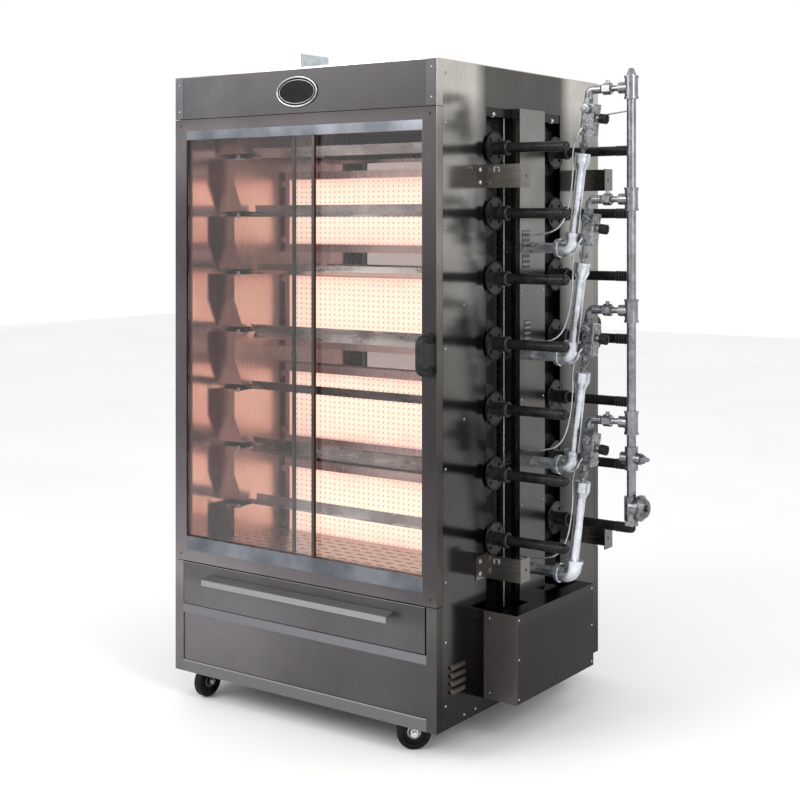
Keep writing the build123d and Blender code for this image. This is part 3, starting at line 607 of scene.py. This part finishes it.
def cabinet_screws():
    """Screws along the edges of the side panel, the drive box, the duct and the header."""
    edge = 14 * MM
    side = [(right, body_front + edge, z) for z in (0.15, 0.33, 0.5, 0.82, 1.16, 1.5, 1.8, 1.94)]
    side += [(right, -body_front - edge, z) for z in (0.15, 0.5, 0.82, 1.16, 1.5, 1.8)]
    side += [(right, y, 0.1) for y in (-0.34, -0.28, 0.28, 0.36)]
    side += [(right, body_front + 110 * MM, z) for z in (0.95, 1.28)]
    screws("side_panel_screws", side, (1, 0, 0), 3.6 * MM)
    corners = []
    for y in (box_low[1] + 12 * MM, box_high[1] - 12 * MM):
        for z in (box_low[2] + edge, (box_low[2] + box_high[2]) / 2, box_high[2] - edge):
            corners.append((box_high[0], y, z))
    screws("drive_box_screws", corners, (1, 0, 0), 3.4 * MM)
    flank = [(box_low[0] + 20 * MM, box_low[1], z) for z in (box_low[2] + 20 * MM, box_high[2] - 20 * MM)]
    screws("drive_box_flank_screws", flank, (0, -1, 0), 3.4 * MM)
    duct = []
    for z in (0.5, 0.66, 0.98, 1.31, 1.64, 1.83):
        for y in (duct_low[1] + 10 * MM, duct_high[1] - 10 * MM):
            duct.append((duct_high[0], y, z))
    screws("duct_screws", duct, (1, 0, 0), 3.0 * MM)
    for row, sign in rows:
        head = [(x, sign * rear, z) for x in (left + 18 * MM, right - 18 * MM) for z in (1.87, 1.955)]
        screws(f"{row}_header_screws", head, (0, sign, 0), 3.0 * MM)


def header_seams():
    """Folded edge strips that cover the two ends of each header panel."""
    width = 35 * MM
    for row, sign in rows:
        face = sign * rear
        ys = sorted((face + sign * 0.9 * MM, face - sign * 0.5 * MM))
        mesh = bmesh.new()
        for x in (left + 1 * MM, right - 36 * MM):
            rounded_block(mesh, (x, ys[0], header_seam_z), (x + width, ys[1], roof_z - 1 * MM), 0.4 * MM)
        piece(f"{row}_header_strips", mesh, strip_steel, "root")


def louvres():
    """Pressed hoods over the four cooling slots."""
    low = body_front + 34 * MM
    hoods, steps, lowest, pitch = 4, 8, 188, 23
    mesh = bmesh.new()
    for i in range(hoods):
        z = (lowest + pitch * i) * MM
        rings = []
        for y, scale in ((low, 0.0), (low + 6 * MM, 1.0), (low + 71 * MM, 1.0), (low + 77 * MM, 0.0)):
            ring = []
            for step in range(steps + 1):
                angle = math.pi / 2 * step / steps
                out = 9 * MM * math.cos(angle) * scale
                up = -10 * MM + 13 * MM * math.sin(angle)
                ring.append(mesh.verts.new((right + 0.3 * MM + out, y, z + up)))
            rings.append(ring)
        for here, there in zip(rings, rings[1:]):
            for a in range(steps):
                mesh.faces.new((here[a], here[a + 1], there[a + 1], there[a]))
    item = piece("side_louvres", mesh, trim_dark, "root")
    item.modifiers.new("thickness", "SOLIDIFY").thickness = 1.2 * MM


def badge():
    """Rims of the blank oval badge: a thick outer one and a thin inner line."""
    low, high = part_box("badge")
    middle = Vector(((low[0] + high[0]) / 2, low[1], (low[2] + high[2]) / 2))
    wide, tall = (high[0] - low[0]) / 2, (high[2] - low[2]) / 2
    steps, sides = 96, 10
    mesh = bmesh.new()
    for inset, thick in ((3.2 * MM, 2.6 * MM), (12 * MM, 0.9 * MM)):
        rings = []
        for step in range(steps):
            angle = 2 * math.pi * step / steps
            ring = []
            for side in range(sides):
                turn = 2 * math.pi * side / sides
                reach = thick * math.cos(turn)
                x = (wide - inset + reach) * math.cos(angle)
                z = (tall - inset + reach) * math.sin(angle)
                ring.append(mesh.verts.new(middle + Vector((x, thick * 0.6 * math.sin(turn), z))))
            rings.append(ring)
        for step in range(steps):
            here, there = rings[step], rings[(step + 1) % steps]
            for side in range(sides):
                after = (side + 1) % sides
                mesh.faces.new((here[side], here[after], there[after], there[side]))
    piece("badge_rims", mesh, badge_rim, "root")


# ---------------------------------------------------------------- detail: doors, panes, drawer


def pane_trims():
    """Dark channel trims on the free edge of each sliding pane."""
    for row, sign in rows:
        for name, at_high in (("left_pane", True), ("right_pane", False)):
            low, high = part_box(f"{row}_{name}")
            edge = high[0] if at_high else low[0]
            inward = -1 if at_high else 1
            xs = sorted((edge + inward * -1 * MM, edge + inward * 11 * MM))
            tip = sorted((edge + inward * -1 * MM, edge + inward * -0.1 * MM))
            z_low, z_high = low[2] + 7 * MM, high[2] - 8 * MM
            mesh = bmesh.new()
            for y in (low[1] - 2.4 * MM, high[1] + 0.2 * MM):
                rounded_block(mesh, (xs[0], y, z_low), (xs[1], y + 2.2 * MM, z_high), 0.8 * MM)
            rounded_block(mesh, (tip[0], low[1] - 2 * MM, z_low), (tip[1], high[1] + 2 * MM, z_high), 0.4 * MM)
            piece(f"{row}_{name}_trim", mesh, trim_dark, f"{row}_{name}")


def door_details():
    """Corner screws, glazing beads beside the stiles and collars round the handle's feet."""
    bead_low, bead_high = 0.5155, 1.7785
    collar = [(15.5, 0), (15.5, 4), (13.5, 7.5), (11.2, 8)]
    for row, sign in rows:
        low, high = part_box(f"{row}_door_frame")
        face = front if sign < 0 else rear
        ys = sorted((face - sign * 3 * MM, face - sign * 5.8 * MM))
        mesh = bmesh.new()
        for x in (left + door_stile, right - door_stile - 5 * MM):
            rounded_block(mesh, (x, ys[0], bead_low), (x + 5 * MM, ys[1], bead_high), 1.0 * MM)
        piece(f"{row}_glazing_beads", mesh, trim_dark, f"{row}_door")
        heights = (low[2] + 20 * MM, high[2] - 20 * MM)
        corners = [(x, face, z) for x in (left + 24 * MM, right - 24 * MM) for z in heights]
        screws(f"{row}_door_screws", corners, (0, sign, 0), 3.2 * MM, f"{row}_door", stile_steel)
        grip_low, grip_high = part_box(f"{row}_door_handle")
        x = (grip_low[0] + grip_high[0]) / 2
        mesh = bmesh.new()
        for z in (grip_low[2] + 15 * MM, grip_high[2] - 15 * MM):
            lathe(mesh, collar, Vector((x, face, z)), (0, sign, 0), 28)
        piece(f"{row}_handle_collars", mesh, black_plastic, f"{row}_door")


def drawer_details():
    """The rivets that hold the drawer's pull, and the pull's folded ends."""
    rivet_z, end_low, end_high, half_length = 0.3945, 0.3785, 0.3955, 0.3585
    places = [(centre + shift, front, rivet_z) for shift in (-0.3, -0.1, 0.1, 0.3)]
    screws("drawer_rivets", places, (0, -1, 0), 2.6 * MM, "drawer", front_steel)
    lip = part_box("drip_drawer")[0][1]
    mesh = bmesh.new()
    for end in (-1, 1):
        x = centre + end * half_length
        xs = sorted((x, x - end * 1.4 * MM))
        rounded_block(mesh, (xs[0], lip + 0.3 * MM, end_low), (xs[1], lip + 2.3 * MM, end_high), 0.5 * MM)
    piece("drawer_pull_ends", mesh, bright_rail, "drawer")


# ---------------------------------------------------------------- detail: oven inside


def rack_hooks():
    """Bright bent tabs at the mouth of each seat in the left rack."""
    x_low, x_high = rack - 1 * MM, rack + 12 * MM
    mesh = bmesh.new()
    for row, sign in rows:
        reach = sorted((sign * 0.23, sign * 0.2555))
        lip = sorted((sign * 0.2535, sign * 0.256))
        for level in range(1, levels + 1):
            z = spit_axis(row, level)[1]
            foot = z - 11.5 * MM
            rounded_block(mesh, (x_low, reach[0], foot), (x_high, reach[1], z - 8.8 * MM), 0.8 * MM)
            rounded_block(mesh, (x_low, lip[0], foot), (x_high, lip[1], z + 3 * MM), 0.8 * MM)
    piece("rack_hooks", mesh, bright_steel, "root")


def burner_trim():
    """Folded rims round the ceramic of each burner, and the joints between its tiles."""
    rim, tiles_across = 7 * MM, 6
    width = (tiles_high[0] - tiles_low[0]) / tiles_across
    rims, joints = bmesh.new(), bmesh.new()
    for burner in range(burners):
        z = burner_z(burner)
        z_low, z_high = z - tile_half_height, z + tile_half_height
        for sign in (-1, 1):
            ys = sorted((sign * 0.0235, sign * 0.0275))
            for edge in (-1, 1):
                zs = sorted((z + edge * tile_half_height, z + edge * (tile_half_height - rim)))
                rounded_block(rims, (tiles_low[0], ys[0], zs[0]), (tiles_high[0], ys[1], zs[1]), 1.2 * MM)
            for x in (tiles_low[0], tiles_high[0] - rim):
                rounded_block(rims, (x, ys[0], z_low), (x + rim, ys[1], z_high), 1.2 * MM)
        for i in range(1, tiles_across):
            x = tiles_low[0] + i * width
            for sign in (-1, 1):
                ys = sorted((sign * 0.0225, sign * 0.0236))
                rounded_block(joints, (x - 0.8 * MM, ys[0], z_low), (x + 0.8 * MM, ys[1], z_high), 0.2 * MM)
    piece("burner_rims", rims, lining, "root")
    piece("tile_joints", joints, ceramic, "root")


def roller_chain(row, sign):
    """A roller chain round its two end sprockets: side plates, pins and rollers at the chain's pitch."""
    y_mid, radius, pitch = sign * 0.182, 78 * MM, 19.05 * MM
    roller, plate = [(0, -3), (4.6, -3), (4.6, 3), (0, 3)], 5.2 * MM
    drive_low, drive_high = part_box(f"{row}_drive_sprocket")
    z_low = (drive_low[2] + drive_high[2]) / 2
    z_high = spit_axis(row, 1)[1]
    straight = z_high - z_low
    length = 2 * straight + 2 * math.pi * radius
    count = 2 * round(length / (2 * pitch))
    x_mid = (chain_low[0] + chain_high[0]) / 2

    def at(distance):
        """The point that far along the chain's loop."""
        distance %= length
        if distance < straight:
            return Vector((x_mid, y_mid + radius, z_low + distance))
        distance -= straight
        if distance < math.pi * radius:
            angle = distance / radius
            return Vector((x_mid, y_mid + radius * math.cos(angle), z_high + radius * math.sin(angle)))
        distance -= math.pi * radius
        if distance < straight:
            return Vector((x_mid, y_mid - radius, z_high - distance))
        angle = math.pi + (distance - straight) / radius
        return Vector((x_mid, y_mid + radius * math.cos(angle), z_low + radius * math.sin(angle)))

    mesh = bmesh.new()
    for i in range(count):
        here, there = at(i * length / count), at((i + 1) * length / count)
        along = (there - here).normalized()
        side = along.cross(Vector((1, 0, 0)))
        lathe(mesh, roller, here, (1, 0, 0), 8)
        offset = 3.9 * MM if i % 2 else 3.2 * MM
        for face in (-offset, offset):
            corners = []
            for point, way in ((here, -1), (there, 1)):
                for turn in (-1, 0, 1):
                    angle = math.pi / 3 * turn
                    reach = along * (way * plate * math.cos(angle)) + side * (way * plate * math.sin(angle))
                    corners.append(point + reach + Vector((face, 0, 0)))
            mesh.faces.new([mesh.verts.new(corner) for corner in corners])
    return piece(f"{row}_roller_chain", mesh, dark_steel, "root", smooth=False)


# ---------------------------------------------------------------- detail: spits and side


def spit_details(row):
    """On each spit: the hub's rim and bolts, the collar and the ribs of the grip."""
    rim = [(50.2, 0.8), (51.0, 2.0), (51.0, 6.2), (49.5, 8.0), (46.0, 8.2), (44.5, 6.8)]
    collar = [(12, 40), (21.5, 40.5), (22.5, 43), (22.5, 52), (19.5, 55), (16.2, 56)]
    bolt_circle, bolts, ribs = 34 * MM, 4, 5
    for level in range(1, levels + 1):
        y, z = spit_axis(row, level)
        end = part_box(f"{row}_spit_{level}")[1][0]
        place = Vector((right, y, z))
        mesh = bmesh.new()
        lathe(mesh, rim, place, (1, 0, 0), 48)
        for i in range(bolts):
            angle = math.pi / 4 + i * math.pi / 2
            spot = place + Vector((7 * MM, bolt_circle * math.cos(angle), bolt_circle * math.sin(angle)))
            bolt_head(mesh, spot, (1, 0, 0), 4.5 * MM)
        piece(f"{row}_hub_rim_{level}", mesh, polished_black, f"{row}_spit_{level}")
        grip = bmesh.new()
        lathe(grip, collar, place, (1, 0, 0))
        for i in range(ribs):
            start = (end - right) / MM - 64 + i * 9
            rib = [(15.1, start), (16.1, start + 1.2), (16.1, start + 4.2), (15.1, start + 5.4)]
            lathe(grip, rib, place, (1, 0, 0))
        piece(f"{row}_grip_rings_{level}", grip, black_plastic, f"{row}_spit_{level}")


def bracket_details():
    """Bolts through the bracket feet and a small hanging loop on each plate."""
    foot, bracket_heights = 45 * MM, ((0.473, 0.541), (1.618, 1.687))
    heads, loops = [], bmesh.new()
    low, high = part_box("cover_brackets")
    for y, side in ((low[1] + foot, -1), (high[1] - foot, 1)):
        near = sorted((y, y + side * 5 * MM))
        far = sorted((y + side * 2.5 * MM, y + side * 5 * MM))
        for z_low, z_high in bracket_heights:
            for z in (z_low + 16 * MM, z_high - 16 * MM):
                heads.append((right + 3 * MM, y + side * 24 * MM, z))
            middle = (z_low + z_high) / 2
            for x in (right + 36 * MM, right + 52 * MM):
                rounded_block(loops, (x, near[0], middle + 12 * MM),
                              (x + 3 * MM, near[1], middle + 28 * MM), 1 * MM)
            rounded_block(loops, (right + 36 * MM, far[0], middle + 25 * MM),
                          (right + 55 * MM, far[1], middle + 28 * MM), 1 * MM)
    screws("bracket_bolts", heads, (1, 0, 0), 5 * MM, surface=bright_steel, shape=bolt_head)
    piece("bracket_loops", loops, bright_steel, "root")


def label_plates():
    """Blank rating plates riveted to the centre duct: middle Y and Z, half width and half height."""
    plates = ((-0.038, 1.465, 0.022, 0.028), (-0.038, 1.40, 0.022, 0.022), (-0.03, 1.17, 0.018, 0.05))
    x = duct_high[0]
    mesh = bmesh.new()
    for y, z, half_y, half_z in plates:
        rounded_block(mesh, (x, y - half_y, z - half_z), (x + 1.2 * MM, y + half_y, z + half_z), 0.5 * MM)
    piece("blank_plates", mesh, label_face, "root")


def gas_details():
    """Valve bolts, coils, ports and pilot tubes of the four gas trains, and one sensing tube."""
    lean = math.radians(7.3)
    way = Vector((math.sin(lean), 0, math.cos(lean)))
    outward = Vector((math.cos(lean), 0, -math.sin(lean)))
    beside = outward * (-14 * MM) + Vector((0, -8 * MM, 0))
    flank = Vector((0, -23 * MM, 0))
    coil_outline = [(0, 20), (6, 20), (7, 18), (7, 15), (13, 14.5), (14, 13), (14, 1), (13, 0)]
    port_outline = [(0, 14), (4, 14), (4.5, 9), (8, 9), (8.5, 3), (10, 2), (10, 0)]
    bolt_ups, bolt_ys = (352 * MM, 424 * MM), (-15 * MM, 15 * MM)

    def foot_of(train):
        """The middle of a train's elbow, counted from the lowest train."""
        return Vector((right + 0.165, 0, lowest_elbow_z + burner_pitch * train))

    parts, bolts = bmesh.new(), bmesh.new()
    for train in range(burners):
        foot = foot_of(train)
        for up in bolt_ups:
            for y in bolt_ys:
                spot = foot + way * up + outward * (34 * MM) + Vector((0, y, 0))
                bolt_head(bolts, spot, outward, 3.2 * MM)
        coil = foot + way * (420 * MM) + outward * (10 * MM) + flank
        lathe(parts, coil_outline, coil, (0, -1, 0), 24)
        port = foot + way * (362 * MM) + outward * (8 * MM) + flank
        lathe(parts, port_outline, port, (0, -1, 0), 6)
        start = port + Vector((0, -12 * MM, 0))
        route = [start, start + Vector((-6 * MM, -10 * MM, -10 * MM))]
        for up, aside in ((0.3, 2), (0.22, 1.3), (0.12, 1.4), (0.055, 2.6)):
            route.append(foot + way * up + beside * aside)
        for out, up in ((50 * MM, 40 * MM), (0, 38 * MM)):
            route.append(Vector((duct_high[0] + out, -28 * MM, foot.z + up)))
        tube(f"pilot_tube_{train + 1}", route, 2.4 * MM, pipe)
    top = foot_of(burners - 1) + way * (402 * MM) + outward * (34 * MM)
    across = [top + Vector((0, 12 * MM, 0)), top + Vector((30 * MM, 12 * MM, 4 * MM))]
    for x, z in ((30 * MM, 12 * MM), (40 * MM, 14 * MM)):
        across.append(Vector((manifold_low[0] + x, 12 * MM, top.z + z)))
    tube("sensing_tube", across, 2.2 * MM, main_pipe)
    piece("valve_fittings", parts, cast, "root")
    piece("valve_bolts", bolts, plated, "root")


def slot_fittings():
    """A dark tie bar across the top of each drive slot, with a bright nut at its outer end."""
    bar = [(0, 0), (7, 0), (7, 26), (5.5, 28), (5.5, 96), (0, 96)]
    nut = [(0, 110), (4, 110), (5, 108), (5, 104), (9, 103), (10, 101), (10, 93), (9, 91), (0, 91)]
    bars, nuts = bmesh.new(), bmesh.new()
    for row, sign in rows:
        start = Vector((right - 9 * MM, sign * 0.078, 1.839))
        lathe(bars, bar, start, (0, sign, 0), 20)
        lathe(nuts, nut, start, (0, sign, 0), 6)
    piece("tie_bars", bars, dark_steel, "root")
    piece("tie_bar_nuts", nuts, bright_steel, "root")


def chain_guides():
    """A bright guide strip beside each chain, just inside the panel's slot."""
    guide_low, guide_high = 0.36, 1.83
    for row, sign in rows:
        ys = sorted((sign * 0.1145, sign * 0.1105))
        mesh = bmesh.new()
        rounded_block(mesh, (right - 8 * MM, ys[0], guide_low), (right - 4 * MM, ys[1], guide_high), 1 * MM)
        piece(f"{row}_chain_guide", mesh, bright_steel, "root")


def wheel_details():
    """Grey hub discs and axle nuts on each caster wheel."""
    outline = [(5.6, 5.2), (9, 5.2), (12, 4.0), (15, 0.8), (19, 0.4), (20.5, 0.1)]
    facing_degrees = {"front_left": -90, "front_right": 220, "rear_left": -90, "rear_right": -90}
    for name, degrees in facing_degrees.items():
        low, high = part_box(f"{name}_wheel")
        middle = Vector([(a + b) / 2 for a, b in zip(low, high)])
        turn = math.radians(degrees)
        axle = Vector((math.sin(turn), -math.cos(turn), 0))
        hub, nuts = bmesh.new(), bmesh.new()
        for way in (-1, 1):
            lathe(hub, outline, middle + axle * (way * 9.8 * MM), axle * way, 40)
            bolt_head(nuts, middle + axle * (way * 21.2 * MM), axle * way, 8 * MM)
        piece(f"{name}_hub", hub, cast, f"{name}_wheel")
        body = f"{name}_fork" if name.startswith("front") else "root"
        piece(f"{name}_axle_nuts", nuts, bright_steel, body)


cabinet_screws()
header_seams()
louvres()
badge()
pane_trims()
door_details()
drawer_details()
rack_hooks()
burner_trim()
label_plates()
bracket_details()
gas_details()
slot_fittings()
chain_guides()
wheel_details()
for row, sign in rows:
    spit_details(row)
chains = [roller_chain(row, sign) for row, sign in rows]
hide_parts("drive_chains")

# ---------------------------------------------------------------- studio


def stage():
    """A pale seamless floor."""
    mesh = bmesh.new()
    bmesh.ops.create_grid(mesh, x_segments=8, y_segments=8, size=14)
    data = bpy.data.meshes.new("studio_floor")
    mesh.to_mesh(data)
    mesh.free()
    floor = bpy.data.objects.new("studio_floor", data)
    bpy.context.scene.collection.objects.link(floor)
    surface = Surface("studio_floor", (0.9, 0.9, 0.9), 0.0, 0.6)
    tone = surface.noise(0.6, (1, 1, 1), 2)
    surface.feed(surface.ramp(tone, [(0.3, (0.88,)), (0.7, (0.92,))]), "Base Color")
    data.materials.append(surface.material)


def area_light(name, place, target, size, power, colour):
    """A rectangular lamp aimed at a point, which the camera doesn't see."""
    lamp = bpy.data.lights.new(name, "AREA")
    lamp.shape = "RECTANGLE"
    lamp.size, lamp.size_y = size
    lamp.energy = power
    lamp.color = colour
    item = bpy.data.objects.new(name, lamp)
    item.location = place
    item.rotation_euler = (Vector(target) - Vector(place)).to_track_quat("-Z", "Y").to_euler()
    item.visible_camera = False
    bpy.context.scene.collection.objects.link(item)


def lights():
    """White surroundings, two soft lamps and the warm glow of each burner's two faces."""
    world = bpy.data.worlds.new("studio")
    world.use_nodes = True
    background = world.node_tree.nodes["Background"]
    background.inputs["Color"].default_value = (1.0, 1.0, 1.0, 1)
    background.inputs["Strength"].default_value = 1.0
    bpy.context.scene.world = world
    middle = (centre, 0, 1.0)
    area_light("key_light", (-2.2, -4.2, 3.4), middle, (2.4, 2.4), 120, (1, 0.98, 0.96))
    area_light("side_light", (4.2, -1.6, 3.0), middle, (1.6, 2.6), 90, (1, 0.98, 0.95))
    glow, glow_power, glow_size = (1.0, 0.56, 0.46), 0.42, (0.8, 0.22)
    x = (tiles_low[0] + tiles_high[0]) / 2
    for burner in range(burners):
        z = burner_z(burner)
        for row, sign in rows:
            name = f"{row}_burner_glow_{burner + 1}"
            area_light(name, (x, sign * 0.035, z), (x, sign * 1.0, z), glow_size, glow_power, glow)


def camera():
    """A level camera off the front right corner, with its frame shifted down."""
    data = bpy.data.cameras.new("camera")
    data.sensor_width = 36
    data.lens = 63.94
    data.shift_y = -0.225
    data.clip_end = 60
    item = bpy.data.objects.new("camera", data)
    item.location = (right + 2.238, front - 3.291, 1.524)
    item.rotation_euler = (math.radians(90), 0, math.radians(35.7))
    bpy.context.scene.collection.objects.link(item)
    bpy.context.scene.camera = item
    bpy.context.scene.view_settings.view_transform = "Standard"


stage()
lights()
camera()
